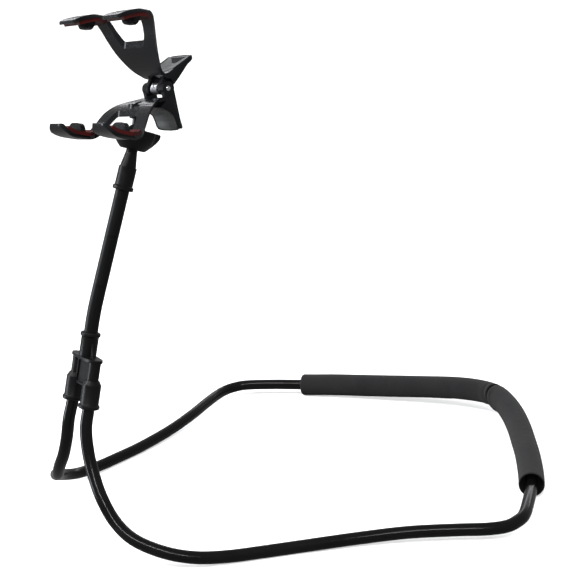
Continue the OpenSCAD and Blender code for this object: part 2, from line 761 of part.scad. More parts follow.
module wing_pad(line, sign) {
    t = along(line, 3);
    n = sign * flat_normal(line, 3);
    place = line[3] + (jaw_r + glue_gap) * n;
    on_pin() translate([0, -place[0], place[1]]) rotate([atan2(n[0], n[1]), 0, 0]) difference() {
        linear_extrude(wing_pad_t) polygon(wing_outline);
        translate([0, 0, dish_r + wing_pad_t * 0.35]) sphere(r = dish_r, $fn = 128);
    }
}

module upper_wing_pad() {
    color([0.42, 0.43, 0.44]) wing_pad(upper_line, 1);
}

module lower_wing_pad() {
    color([0.42, 0.43, 0.44]) wing_pad(lower_line, -1);
}

// Pin and spring
pin_half = outer_x + knuckle_w / 2 + fixed_gap;

module pivot_pin() {
    color([0.85, 0.85, 0.87]) on_pin() {
        translate([-pin_half, 0, 0]) rotate([0, 90, 0]) cylinder(d = pin_d, h = 2 * pin_half);
        for (side = [-1, 1]) translate([side * pin_half, 0, 0]) rotate([0, side * 90, 0])
            cylinder(d1 = pin_head_d, d2 = pin_head_d * 0.7, h = pin_head_t);
    }
}

curl_count = 4;
curl_rings = 8;
first_angle = 206;
last_angle = 157 + 360 * curl_count;
turn_steps = ceil((last_angle - first_angle) / 360 * curl_rings);
spring_half = curl_pitch * (last_angle - first_angle) / 720;
function curl_point(a) = [
    -spring_half + curl_pitch * (a - first_angle) / 360, -curl_r * cos(a), curl_r * sin(a)
];
function curl_way(a) = [0, sin(a), cos(a)];
spring_line = concat(
    [for (s = [spring_leg, spring_leg * 0.5, wire_d]) curl_point(first_angle) - s * curl_way(first_angle)],
    [for (k = [0:turn_steps]) curl_point(first_angle + (last_angle - first_angle) * k / turn_steps)],
    [for (s = [wire_d, spring_leg * 0.5, spring_leg]) curl_point(last_angle) + s * curl_way(last_angle)]
);
// Least gap between two parts of the spring that lie at least a third of a curl apart
far_steps = 5;
spring_gap = min([
    for (i = [0:len(spring_line) - 1]) for (k = [i + far_steps:1:len(spring_line) - 1])
        norm(spring_line[i] - spring_line[k]) - wire_d
]);
echo(spring_gap = spring_gap);

module torsion_spring() {
    color([0.7, 0.7, 0.72]) on_pin() solid_tube(spring_line, wire_d / 2, 6, [1, 0, 0]);
}

neck_tube();
foam_sleeve();
y_body();
left_coupler();
right_coupler();
arm_root();
arm_lower();
arm_upper();
arm_tip();
end_sleeve();
ball_socket();
locking_nut();
ball_seat();
ball_stud();
stud_screw();
lower_jaw();
upper_jaw();
lower_left_pad();
lower_right_pad();
upper_left_pad();
upper_right_pad();
lower_wing_pad();
upper_wing_pad();
pivot_pin();
torsion_spring();
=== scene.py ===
# Neck phone holder: the looks of the loop, the arm and the clip, over the frame of the model.
# Metres, +Z up; the loop lies on the floor, the clip is at the front (-Y), the foam at the back (+Y).
# The shapes are worked out in the model's millimetres, and new_object turns them into metres.

import math

import bpy
import numpy as np
from mathutils import Matrix, Vector


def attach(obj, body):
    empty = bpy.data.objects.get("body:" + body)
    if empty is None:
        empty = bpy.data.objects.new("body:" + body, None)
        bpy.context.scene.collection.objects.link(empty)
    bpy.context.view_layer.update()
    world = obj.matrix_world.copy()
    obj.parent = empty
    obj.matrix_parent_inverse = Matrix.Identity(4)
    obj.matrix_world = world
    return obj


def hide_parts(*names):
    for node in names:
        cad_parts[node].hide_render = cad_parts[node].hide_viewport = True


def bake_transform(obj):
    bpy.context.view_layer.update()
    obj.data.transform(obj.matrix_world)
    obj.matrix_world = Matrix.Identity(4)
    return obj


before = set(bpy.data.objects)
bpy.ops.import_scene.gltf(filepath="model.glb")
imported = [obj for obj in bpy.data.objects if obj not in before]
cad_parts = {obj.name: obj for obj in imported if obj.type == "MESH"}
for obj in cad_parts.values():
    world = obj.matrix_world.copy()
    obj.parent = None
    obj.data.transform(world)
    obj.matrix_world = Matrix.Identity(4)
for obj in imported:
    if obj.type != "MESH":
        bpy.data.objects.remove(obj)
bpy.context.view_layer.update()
scene = bpy.context.scene
scene.view_settings.view_transform = "Standard"

MM = 0.001
FULL_TURN = 2 * math.pi


# Camera of the photograph, in metres

CAMERA_PLACE = (0.8834, -0.4978, 0.3944)
CAMERA_RIGHT = Vector((0.5061, 0.8584, -0.0841))
CAMERA_BACK = Vector((0.8451, -0.4741, 0.2471))

camera_data = bpy.data.cameras.new("camera")
camera_data.sensor_width = 36.0
camera_data.lens = 93.75
camera = bpy.data.objects.new("camera", camera_data)
scene.collection.objects.link(camera)
back = CAMERA_BACK.normalized()
up = back.cross(CAMERA_RIGHT.normalized()).normalized()
right = up.cross(back)
camera.matrix_world = Matrix((
    (right.x, up.x, back.x, CAMERA_PLACE[0]),
    (right.y, up.y, back.y, CAMERA_PLACE[1]),
    (right.z, up.z, back.z, CAMERA_PLACE[2]),
    (0.0, 0.0, 0.0, 1.0),
))
scene.camera = camera


# Sizes, in millimetres, as in the model

LOOP_HALF_WIDTH = 186.0
LOOP_REACH = 324.0
PLATE_HEIGHT = 119.0
PLATE_TO_MIDDLE = 156.4
TUBE_R = 4.1
FOAM_R = 8.7
MOUTH_R = 7.7
LEG_PITCH = 26.4
STEM_LEAN = math.radians(16.0)
ARM_LEAN = math.radians(21.5)
ARM_R = 4.6
BARREL_TOP = 18.5
ARM_DEPTH = 14.0
ROOT_LEN = 14.0
BEND_PITCH = 33.0
SLEEVE_S = 80.4
SLEEVE_LEN = 15.4
BALL_UP = 21.9
CLIP_TURN = (-15.9, -3.9, 7.25)  # degrees about X, Y and Z
PIN_BACK = 13.5
PIN_UP = 31.0

STEM = Vector((0.0, math.sin(STEM_LEAN), math.cos(STEM_LEAN)))
ARM = Vector((0.0, math.sin(ARM_LEAN), math.cos(ARM_LEAN)))
PLATE = Vector((0.0, -PLATE_TO_MIDDLE, PLATE_HEIGHT))
ROOT_HINGE = PLATE + (BARREL_TOP + ROOT_LEN) * STEM
BALL = ROOT_HINGE + (SLEEVE_S + SLEEVE_LEN + BALL_UP) * ARM


def turn(axis, degrees):
    return Matrix.Rotation(math.radians(degrees), 4, axis)


CLIP = (Matrix.Translation(BALL) @ turn("Z", CLIP_TURN[2]) @ turn("Y", CLIP_TURN[1])
        @ turn("X", CLIP_TURN[0]))
PIN = CLIP @ Matrix.Translation((0.0, PIN_BACK, PIN_UP))


# Meshes

def new_object(name, points, faces, material):
    """A smooth mesh object from points in millimetres."""
    mesh = bpy.data.meshes.new(name)
    mesh.from_pydata([Vector(p) * MM for p in points], [], faces)
    mesh.update()
    mesh.polygons.foreach_set("use_smooth", [True] * len(mesh.polygons))
    mesh.materials.append(material)
    obj = bpy.data.objects.new(name, mesh)
    scene.collection.objects.link(obj)
    return obj


def flat_faces(obj, first):
    """The faces from number first on are shaded flat, so the round side keeps its own shading."""
    for polygon in obj.data.polygons[first:]:
        polygon.use_smooth = False


def around(sides):
    """Even angles round a full turn, in radians."""
    return [FULL_TURN * k / sides for k in range(sides)]


def catmull(points, steps):
    """A smooth curve through the points, with the end points kept."""
    p = [np.array(q, float) for q in points]
    p = [2 * p[0] - p[1]] + p + [2 * p[-1] - p[-2]]
    out = []
    for i in range(1, len(p) - 2):
        a, b, c, d = p[i - 1:i + 3]
        for k in range(steps):
            t = k / steps
            out.append((2 * b + (c - a) * t + (2 * a - 5 * b + 4 * c - d) * t * t
                        + (3 * b - a - 3 * c + d) * t ** 3) / 2)
    out.append(p[-2])
    return np.array(out)


def finer(line, parts):
    """The line with each step cut into equal parts."""
    t = np.arange(len(line))
    fine = np.linspace(0, len(line) - 1, (len(line) - 1) * parts + 1)
    return np.stack([np.interp(fine, t, line[:, k]) for k in range(3)], axis=1)


def directions(line, start):
    """Tangents and two carried normals along a line."""
    tangents = np.gradient(line, axis=0)
    tangents /= np.linalg.norm(tangents, axis=1)[:, None]
    normals = []
    n = np.array(start, float)
    for t in tangents:
        n = n - n.dot(t) * t
        n /= np.linalg.norm(n)
        normals.append(n)
    normals = np.array(normals)
    return tangents, normals, np.cross(tangents, normals)


def lengths(line):
    """The length of the line up to each of its points."""
    return np.concatenate([[0.0], np.cumsum(np.linalg.norm(np.diff(line, axis=0), axis=1))])


def grid_faces(rows, sides, first=0, flip=False):
    """The quads between closed rows of points that start at number first."""
    faces = []
    for i in range(rows - 1):
        for k in range(sides):
            a = first + i * sides + k
            b = first + i * sides + (k + 1) % sides
            c = b + sides
            d = a + sides
            faces.append((a, b, c, d) if flip else (a, d, c, b))
    return faces


CAP_OUT = 0.2


def sweep(name, line, radius, sides, material, start=(0, 0, 1)):
    """A round tube along line, closed by low cones; radius(s) is its radius s millimetres along."""
    tangents, normals, sideways = directions(line, start)
    s = lengths(line)
    points = []
    for i in range(len(line)):
        r = radius(s[i])
        for a in around(sides):
            points.append(line[i] + r * (math.cos(a) * normals[i] + math.sin(a) * sideways[i]))
    faces = grid_faces(len(line), sides)
    count = len(points)
    points += [line[0] - CAP_OUT * tangents[0], line[-1] + CAP_OUT * tangents[-1]]
    last = (len(line) - 1) * sides
    caps = len(faces)
    for k in range(sides):
        faces.append((k, (k + 1) % sides, count))
        faces.append((last + (k + 1) % sides, last + k, count + 1))
    obj = new_object(name, points, faces, material)
    flat_faces(obj, caps)
    return obj


def soften(obj, bevel, segments=3, angle=32.0):
    """Rounds the edges of an object that turn by more than the angle in degrees."""
    edge = obj.modifiers.new("edge", "BEVEL")
    edge.width = bevel * MM
    edge.segments = segments
    edge.limit_method = "ANGLE"
    edge.angle_limit = math.radians(angle)
    edge.harden_normals = True


# Materials: the textures lie in the object's own metres, so a scale is a count per metre

def principled(name, color, roughness, metallic=0.0, specular=0.5, sheen=0.0):
    """A new material and its shader, with the values that are the same all over the surface."""
    material = bpy.data.materials.new(name)
    material.use_nodes = True
    shader = material.node_tree.nodes["Principled BSDF"]
    shader.inputs["Base Color"].default_value = (*color, 1.0)
    shader.inputs["Roughness"].default_value = roughness
    shader.inputs["Metallic"].default_value = metallic
    shader.inputs["Specular IOR Level"].default_value = specular
    shader.inputs["Sheen Weight"].default_value = sheen
    return material, shader


class Nodes:
    """Short calls for the nodes of one material."""

    def __init__(self, material, shader):
        self.tree = material.node_tree
        self.shader = shader
        self.place = self.tree.nodes.new("ShaderNodeTexCoord").outputs["Object"]

    def join(self, source, target):
        self.tree.links.new(source, target)

    def noise(self, scale, detail=3.0, rough=0.55):
        node = self.tree.nodes.new("ShaderNodeTexNoise")
        node.inputs["Scale"].default_value = scale
        node.inputs["Detail"].default_value = detail
        node.inputs["Roughness"].default_value = rough
        self.join(self.place, node.inputs["Vector"])
        return node.outputs["Fac"]

    def cells(self, scale):
        node = self.tree.nodes.new("ShaderNodeTexVoronoi")
        node.feature = "F1"
        node.inputs["Scale"].default_value = scale
        self.join(self.place, node.inputs["Vector"])
        return node.outputs["Distance"]

    def spread(self, source, low, high, from_low, from_high):
        node = self.tree.nodes.new("ShaderNodeMapRange")
        node.inputs["From Min"].default_value = from_low
        node.inputs["From Max"].default_value = from_high
        node.inputs["To Min"].default_value = low
        node.inputs["To Max"].default_value = high
        self.join(source, node.inputs["Value"])
        return node.outputs["Result"]

    def colors(self, source, stops):
        node = self.tree.nodes.new("ShaderNodeValToRGB")
        ramp = node.color_ramp
        while len(ramp.elements) < len(stops):
            ramp.elements.new(0.5)
        for element, (position, color) in zip(ramp.elements, stops):
            element.position = position
            element.color = (*color, 1.0)
        self.join(source, node.inputs["Fac"])
        return node.outputs["Color"]

    def bump(self, source, distance, strength, under=None):
        node = self.tree.nodes.new("ShaderNodeBump")
        node.inputs["Strength"].default_value = strength
        node.inputs["Distance"].default_value = distance
        self.join(source, node.inputs["Height"])
        if under is not None:
            self.join(under, node.inputs["Normal"])
        return node.outputs["Normal"]

    def roughness(self, source):
        self.join(source, self.shader.inputs["Roughness"])

    def color(self, source):
        self.join(source, self.shader.inputs["Base Color"])

    def normal(self, source):
        self.join(source, self.shader.inputs["Normal"])


def moulded(name, dark, light, rough_low, rough_high, grain, grain_depth, specular=0.5):
    """Moulded plastic: a fine grain, a slow change of shade and gloss, and small handling marks."""
    material, shader = principled(name, dark, (rough_low + rough_high) / 2, specular=specular)
    n = Nodes(material, shader)
    slow = n.noise(scale=45.0, detail=4.0)
    marks = n.noise(scale=900.0, detail=6.0, rough=0.7)
    n.color(n.colors(slow, [(0.3, dark), (0.75, light)]))
    n.roughness(n.spread(marks, rough_low, rough_high, from_low=0.35, from_high=0.7))
    waves = n.bump(n.noise(scale=160.0, detail=2.0), distance=grain_depth * 1.5, strength=0.35)
    n.normal(n.bump(n.cells(grain), distance=grain_depth, strength=0.5, under=waves))
    return material


FOAM_SHADES = [
    (0.25, (0.0066, 0.0066, 0.0074)),
    (0.55, (0.0090, 0.0088, 0.0094)),
    (0.85, (0.0118, 0.0112, 0.0111)),
]


def foam_material(name, shade):
    """Soft foam with fine pores; a shade below one darkens its colour and sheen, which paints shade where no
    light reaches.
    """
    material, shader = principled(name, (0.011, 0.011, 0.012), roughness=0.93, specular=0.12,
                                  sheen=0.06 * shade)
    shader.inputs["Sheen Roughness"].default_value = 0.6
    n = Nodes(material, shader)
    pores = n.cells(scale=1500.0)
    coarse = n.noise(scale=260.0, detail=5.0, rough=0.65)
    blotch = n.noise(scale=38.0, detail=4.0)
    shades = [(place, tuple(c * shade for c in color)) for place, color in FOAM_SHADES]
    n.color(n.colors(blotch, shades))
    n.roughness(n.spread(coarse, low=0.86, high=0.98, from_low=0.3, from_high=0.7))
    under = n.bump(coarse, distance=0.00035, strength=0.45)
    n.normal(n.bump(pores, distance=0.00022, strength=0.8, under=under))
    return material


def rubber_material(name, dark, light, rough_low=0.52, rough_high=0.72, specular=0.3):
    """Rubber with a fine grain and a slow change of shade."""
    material, shader = principled(name, dark, rough_low, specular=specular)
    n = Nodes(material, shader)
    n.color(n.colors(n.noise(scale=120.0, detail=4.0), [(0.3, dark), (0.75, light)]))
    marks = n.noise(scale=500.0, detail=4.0)
    n.roughness(n.spread(marks, rough_low, rough_high, from_low=0.3, from_high=0.7))
    under = n.bump(n.noise(scale=220.0), distance=0.0001, strength=0.5)
    n.normal(n.bump(n.cells(scale=2400.0), distance=0.00008, strength=0.7, under=under))
    return material


def metal_material(name, color, low, high):
    """Bare metal with fine marks; low and high are the ends of its roughness."""
    material, shader = principled(name, color, low, metallic=1.0)
    n = Nodes(material, shader)
    marks = n.noise(scale=1400.0, detail=5.0, rough=0.7)
    n.roughness(n.spread(marks, low, high, from_low=0.35, from_high=0.7))
    n.normal(n.bump(n.noise(scale=2600.0, detail=3.0), distance=0.00002, strength=0.5))
    dull = tuple(c * 0.9 for c in color)
    n.color(n.colors(n.noise(scale=300.0, detail=3.0), [(0.3, dull), (0.7, color)]))
    return material


def plain(name, color, roughness):
    """A dull surface with an almost even colour."""
    material, shader = principled(name, color, roughness)
    n = Nodes(material, shader)
    dull = tuple(c * 0.99 for c in color)
    n.color(n.colors(n.noise(scale=2.0, detail=2.0), [(0.3, color), (0.7, dull)]))
    return material


TUBE = moulded("tube_gloss", (0.0016, 0.0016, 0.0018), (0.0030, 0.0030, 0.0034),
               rough_low=0.12, rough_high=0.22, grain=1800.0, grain_depth=0.00002, specular=0.22)
FOAM = foam_material("foam_skin", 1.0)
# A darker copy of the foam: painted shade for the mouths and the crease, where no light reaches
FOAM_PAINTED_SHADE = foam_material("foam_painted_shade", 0.15)
ARM_SKIN = moulded("arm_skin", (0.0020, 0.0020, 0.0022), (0.0034, 0.0034, 0.0036),
                   rough_low=0.30, rough_high=0.44, grain=1600.0, grain_depth=0.00004, specular=0.16)
SATIN = moulded("satin_plastic", (0.0022, 0.0022, 0.0024), (0.0042, 0.0042, 0.0045),
                rough_low=0.30, rough_high=0.46, grain=1500.0, grain_depth=0.00005, specular=0.18)
# The claws' faint blue tint stands in for the cool reflections of the studio lights: a painted reflection
# tint.
CLAW = moulded("claw_plastic", (0.0022, 0.0024, 0.0030), (0.0044, 0.0050, 0.0062),
               rough_low=0.16, rough_high=0.28, grain=1900.0, grain_depth=0.00003, specular=0.25)
LINER = moulded("liner_plastic", (0.42, 0.42, 0.40), (0.52, 0.52, 0.50),
                rough_low=0.4, rough_high=0.5, grain=1500.0, grain_depth=0.00003)
RED = rubber_material("red_rubber", (0.030, 0.0014, 0.0012), (0.055, 0.003, 0.0025))
GREY = rubber_material("grey_rubber", (0.060, 0.063, 0.064), (0.100, 0.103, 0.102),
                       rough_low=0.34, rough_high=0.5, specular=0.5)
CHROME = metal_material("bright_steel", (0.78, 0.78, 0.80), low=0.08, high=0.2)
STEEL = metal_material("plain_steel", (0.5, 0.5, 0.52), low=0.25, high=0.4)


# Neck loop: the places are shares of the half width, the reach and the height under the plate

# The places come from a least-squares fit to the photo's two legs, with some heights set one by one
LOOP_SHARES = [
    (0.0774, -0.0370, 0.643), (0.0968, -0.0426, 0.521), (0.1355, -0.0457, 0.404),
    (0.1930, -0.0469, 0.290), (0.2543, -0.0398, 0.180), (0.3435, -0.0256, 0.108),
    (0.4446, 0.0093, 0.060), (0.5075, 0.0571, 0.0235), (0.5516, 0.1157, 0.0050),
    (0.5957, 0.1821, 0.0012), (0.6435, 0.2515, 0.0012), (0.7220, 0.3469, 0.0095),
    (0.8097, 0.4321, 0.0220), (0.9048, 0.5049, 0.0272), (0.9704, 0.5556, 0.0263),
    (0.9984, 0.5895, 0.0285), (0.9968, 0.6157, 0.0340), (0.9737, 0.6454, 0.0385),
    (0.8892, 0.6966, 0.0415), (0.7898, 0.7509, 0.0415), (0.6441, 0.8145, 0.0530),
    (0.4505, 0.8880, 0.0696), (0.2575, 0.9528, 0.0931), (0.1070, 0.9886, 0.1123),
    (0.0, 1.0, 0.1158),
]
LEG_STARTS = (21.3, 31.1)  # how far under the plate the first two places lie, along the leg
FOAM_FIRST = 21            # the place where the foam begins
LOOP_STEPS = 9
LOOP_SIDES = 40
# The low bend of the far leg stands a little higher than that of the near leg: at which place,
# over how many places to each side, and by how much
LIFT_AT = 6.8
LIFT_SPAN = 1.3
LIFT = 6.2


def leg_place(s):
    return np.array((LEG_PITCH / 2, -s * math.sin(STEM_LEAN), PLATE_HEIGHT - s * math.cos(STEM_LEAN)))


def share_place(wide, deep, high):
    return np.array((wide * LOOP_HALF_WIDTH, deep * LOOP_REACH, TUBE_R + high * (PLATE_HEIGHT - TUBE_R)))


def far_place(i, place):
    """Place number i of the near half, on the far half."""
    lift = LIFT * math.exp(-((i - LIFT_AT) / LIFT_SPAN) ** 2)
    return place * np.array((-1.0, 1.0, 1.0)) + np.array((0.0, 0.0, lift))


near_half = [leg_place(s) for s in LEG_STARTS] + [share_place(*shares) for shares in LOOP_SHARES]
far_half = [far_place(i, place) for i, place in enumerate(near_half)]
to_middle = np.array((0.0, -PLATE_TO_MIDDLE, 0.0))
loop_line = catmull(near_half + far_half[-2::-1], LOOP_STEPS) + to_middle

neck_tube = sweep("loop_tube", loop_line, lambda s: TUBE_R, LOOP_SIDES, TUBE, start=(0, 1, 0))
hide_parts("neck_tube")
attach(neck_tube, "base")


# Foam sleeve: a thick soft tube with open mouths, folded sharply beside its middle

FOAM_SIDES = 72
FOAM_PARTS = 6
FOAM_MOST = 0.8        # how far the foam swells past its radius at most
INNER_WAY = np.array((0.0, -1.0, -0.35))  # to the inner side of the bend, where it folds
FOLD_AT = -10.3        # the deep fold, from the middle of the foam
FOLD_LEAN = 5.0        # how far its upper side lies further along than its middle
LEAN_SPAN = 11.0
CREASE_DEPTH = 2.8     # the crease all round, at the deep fold
CREASE_HALF = 1.0
SWELL_HEIGHT = 1.2     # the foam that is pushed up beside it
SWELL_BESIDE = 3.6
SWELL_HALF = 2.6
CREASE_SHADE_HALF = 1.4        # half width of the painted shade line in the crease
# Folds: place from the middle, depth, half width, and a shift in half widths
FOLDS = [
    (FOLD_AT, 3.0, 1.3, 0.0), (FOLD_AT + 5.5, 0.9, 3.2, 0.25), (5.0, 0.35, 4.2, -0.2),
    (-30.0, 0.22, 5.0, 0.1), (34.0, 0.25, 5.0, 0.0),
]
FOLD_INNER = 1.3       # how closely a fold keeps to the inner side of the bend
FOLD_SHARP = 1.4       # how pointed it is, and how quickly it ends
FOLD_FALL = 1.1
FOLD_LIP = 0.22        # height of the low swell on each side of a fold, as a share of its depth
LIP_AT = 2.1           # its place and its half width, in half widths of the fold
LIP_SPAN = 1.1
WAVE_COUNT = 9
WAVE_HEIGHT = 0.028
WAVE_RATE = 2.2
END_ROUND = 1.2        # the rounded edge at the mouths: length and depth
END_DEPTH = 0.55
MOUTH_DEPTH = 26.0     # how far in the mouth narrows down to the tube
MOUTH_GAP = 0.35
MOUTH_POWER = 0.6

foam_from = FOAM_FIRST * LOOP_STEPS
foam_line = finer(loop_line[foam_from:len(loop_line) - foam_from], FOAM_PARTS)
foam_s = lengths(foam_line)
foam_total = foam_s[-1]
# Waves: speed along the foam, phase, count round it and place round it
dice = np.random.default_rng(7)
waves = [
    (dice.uniform(0.02, 0.09), dice.uniform(0, 6.28), int(dice.integers(1, 4)), dice.uniform(0, 6.28))
    for _ in range(WAVE_COUNT)
]
tangents, up_normals, side_normals = directions(foam_line, (0, 0, 1))


def foam_way(i, a):
    """The way out from the middle of row i at angle a."""
    return math.cos(a) * up_normals[i] + math.sin(a) * side_normals[i]


def foam_radius(i, a):
    """The foam's outer radius in row i at angle a."""
    s = foam_s[i]
    middle = s - foam_total / 2
    inner_way = INNER_WAY - INNER_WAY.dot(tangents[i]) * tangents[i]
    inner_way /= np.linalg.norm(inner_way)
    inner = (1 + foam_way(i, a).dot(inner_way)) / 2
    r = FOAM_R
    for place, depth, half, shift in FOLDS:
        gap = abs(middle - place - shift * half)
        r -= depth * inner ** FOLD_INNER * math.exp(-(gap / half) ** FOLD_SHARP * FOLD_FALL)
        lip = math.exp(-((gap - LIP_AT * half) / (half * LIP_SPAN)) ** 2)
        r += depth * FOLD_LIP * inner ** 2 * lip
    for speed, phase, count, place in waves:
        r += WAVE_HEIGHT * math.sin(middle * speed * WAVE_RATE + phase) * math.cos(count * a + place)
    edge = min(s, foam_total - s)
    if edge < END_ROUND:
        r -= END_DEPTH * (1 - edge / END_ROUND) ** 2
    r -= CREASE_DEPTH * math.exp(-((middle - FOLD_AT) / CREASE_HALF) ** 2)
    swell = math.exp(-((middle - FOLD_AT + SWELL_BESIDE) / SWELL_HALF) ** 2)
    r += SWELL_HEIGHT * inner ** 3 * swell
    return min(r, FOAM_R + FOAM_MOST)


def foam_mesh():
    rows = len(foam_line)
    angles = around(FOAM_SIDES)
    points = []
    for i in range(rows):
        lean = math.exp(-((foam_s[i] - foam_total / 2 - FOLD_AT) / LEAN_SPAN) ** 2)
        for a in angles:
            way = foam_way(i, a)
            slant = FOLD_LEAN * way[2] * lean
            points.append(foam_line[i] + foam_radius(i, a) * way + slant * tangents[i])
    faces = grid_faces(rows, FOAM_SIDES)
    outer_faces = len(faces)
    inner_rows = [i for i in range(rows) if foam_s[i] < MOUTH_DEPTH]
    for end in (0, 1):
        order = inner_rows if end == 0 else [rows - 1 - i for i in inner_rows]
        rim = order[0] * FOAM_SIDES
        first = len(points)
        for i in order:
            inside = min(foam_s[i], foam_total - foam_s[i])
            open_share = max(0.0, 1 - inside / MOUTH_DEPTH) ** MOUTH_POWER
            r = TUBE_R + MOUTH_GAP + (MOUTH_R - TUBE_R) * open_share
            points += [foam_line[i] + r * foam_way(i, a) for a in angles]
        for k in range(FOAM_SIDES):
            n = (k + 1) % FOAM_SIDES
            quad = (rim + k, rim + n, first + n, first + k)
            faces.append(quad if end == 0 else quad[::-1])
        faces += grid_faces(len(order), FOAM_SIDES, first, flip=end == 0)
    tube = new_object("foam_tube", points, faces, FOAM)
    tube.data.materials.append(FOAM_PAINTED_SHADE)
    # The mouths, and the pinched line of the deep fold, get the darker foam: painted shade where no light
    # reaches the foam
    for polygon in tube.data.polygons:
        if polygon.index >= outer_faces:
            polygon.material_index = 1
            continue
        row = polygon.index // FOAM_SIDES
        at = (foam_s[row] + foam_s[row + 1]) / 2 - foam_total / 2
        if abs(at - FOLD_AT) < CREASE_SHADE_HALF:
            polygon.material_index = 1
    return tube


foam = foam_mesh()
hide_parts("foam_sleeve")
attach(foam, "base")


# Arm: one bendable rod, in three lengths that each reach across one joint

ARM_SIDES = 48
ARM_STEP = 0.8
ARM_EASE = 10.0        # half the length over which the rod turns from the stem's lean to the arm's
ARM_GAP = 0.2          # left free under the arm's foot, in the barrel
ARM_IN_SLEEVE = 0.7    # the share of the end sleeve that the arm fills
TUCK = 2.0             # how far a length runs into the next one, so no seam shows
TUCK_FROM = 0.4        # from where past the seam it is thinner, and by how much
TUCK_THIN = 0.08


def arm_place(s):
    """The middle of the arm, s millimetres along it from its lowest bend."""
    if abs(s) >= ARM_EASE:
        return np.array(ROOT_HINGE + s * (ARM if s > 0 else STEM))
    t = (s + ARM_EASE) / (2 * ARM_EASE)
    low = ROOT_HINGE - ARM_EASE * STEM
    high = ROOT_HINGE + ARM_EASE * ARM
    return np.array((1 - t) ** 2 * low + 2 * t * (1 - t) * ROOT_HINGE + t * t * high)


def arm_skin(name, first, last, nodes, tuck=TUCK):
    """A length of the arm, from first to last millimetres along it and tuck further into the next length; it
    takes the place of the nodes, which it hides.
    """
    whole = last - first
    places = np.linspace(first, last + tuck, int((whole + tuck) / ARM_STEP) + 1).tolist()
    line = np.array([arm_place(s) for s in places])
    skin = sweep(name, line, lambda s: ARM_R - (TUCK_THIN if s > whole + TUCK_FROM else 0.0),
                 ARM_SIDES, ARM_SKIN, start=(1, 0, 0))
    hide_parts(*nodes)
    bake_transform(skin)


half_bend = BEND_PITCH / 2
arm_foot = -ROOT_LEN - ARM_DEPTH + ARM_GAP
arm_end = SLEEVE_S + SLEEVE_LEN * ARM_IN_SLEEVE
arm_skin("arm_skin_low", arm_foot, half_bend, ["arm_root", "arm_lower"])
arm_skin("arm_skin_middle", half_bend, 3 * half_bend, ["arm_upper"])
arm_skin("arm_skin_high", 3 * half_bend, arm_end, ["arm_tip"],
         tuck=0.0)


# Connector: plate, barrel with a lip and two fins, leg stubs with a framed web; and the two leg couplers

CONNECTOR = Matrix.Translation(PLATE) @ Matrix.Rotation(-STEM_LEAN, 4, "X")
LATHE_SIDES = 56
PLASTIC_EDGE = 0.22
PLATE_UP = 1.8
PLATE_HALF = (17.4, 6.4)  # half width and half depth
PLATE_POWER = 2.9      # how square the plate is: 2 is an ellipse
PLATE_THICK = 2.0
BARREL_R = 5.7
STUB_R = 3.9
STUB_BORE_R = 2.0
STUB_END = -20.5
WEB_LOW = -16.6
WEB_THICK = 2.4
RIDGE_THICK = 4.6
RIDGE_ACROSS = (7.4, 8.8)  # inner and outer side of the upright ridges that frame the web
BAR_THICK = 4.2
BAR_HALF = 8.6
FIN_THICK = 1.5
COUPLER_TOP = -10.8
COUPLER_STEP = -21.0   # where the coupler's bore widens from the stub to the tube
COUPLER_END = -29.3
COUPLER_R = 6.15
LIP_OUT = 0.9

# Sections are closed loops of (radius, height), outlines of (across, height)
BARREL_SECTION = [
    (BARREL_R, PLATE_UP), (BARREL_R, BARREL_TOP - 3.2), (BARREL_R + 0.3, BARREL_TOP - 2.7),
    (BARREL_R + LIP_OUT, BARREL_TOP - 2.3), (BARREL_R + LIP_OUT, BARREL_TOP - 0.8),
    (BARREL_R + 0.3, BARREL_TOP), (4.75, BARREL_TOP), (4.68, 5.0), (4.0, PLATE_UP),
]
STUB_SECTION = [
    (STUB_R, STUB_END), (STUB_R, PLATE_UP), (STUB_BORE_R, PLATE_UP), (STUB_BORE_R, STUB_END),
]
COUPLER_SECTION = [
    (COUPLER_R + LIP_OUT, COUPLER_END + 0.7), (COUPLER_R + LIP_OUT, COUPLER_END + 2.2),
    (COUPLER_R + 0.3, COUPLER_END + 2.7), (COUPLER_R, COUPLER_END + 3.2),
    (COUPLER_R, COUPLER_TOP - 2.6), (COUPLER_R - 0.4, COUPLER_TOP - 2.0),
    (STUB_R + 0.7, COUPLER_TOP), (STUB_R + 0.05, COUPLER_TOP), (STUB_R + 0.05, COUPLER_STEP),
    (TUBE_R + 0.1, COUPLER_STEP), (TUBE_R + 0.25, COUPLER_END), (COUPLER_R + 0.3, COUPLER_END),
]
FIN_OUTLINE = [
    (BARREL_R - 0.6, PLATE_UP), (BARREL_R + 4.2, PLATE_UP + 0.6), (BARREL_R + 0.9, PLATE_UP + 8.0),
    (BARREL_R - 0.6, PLATE_UP + 10.6),
]


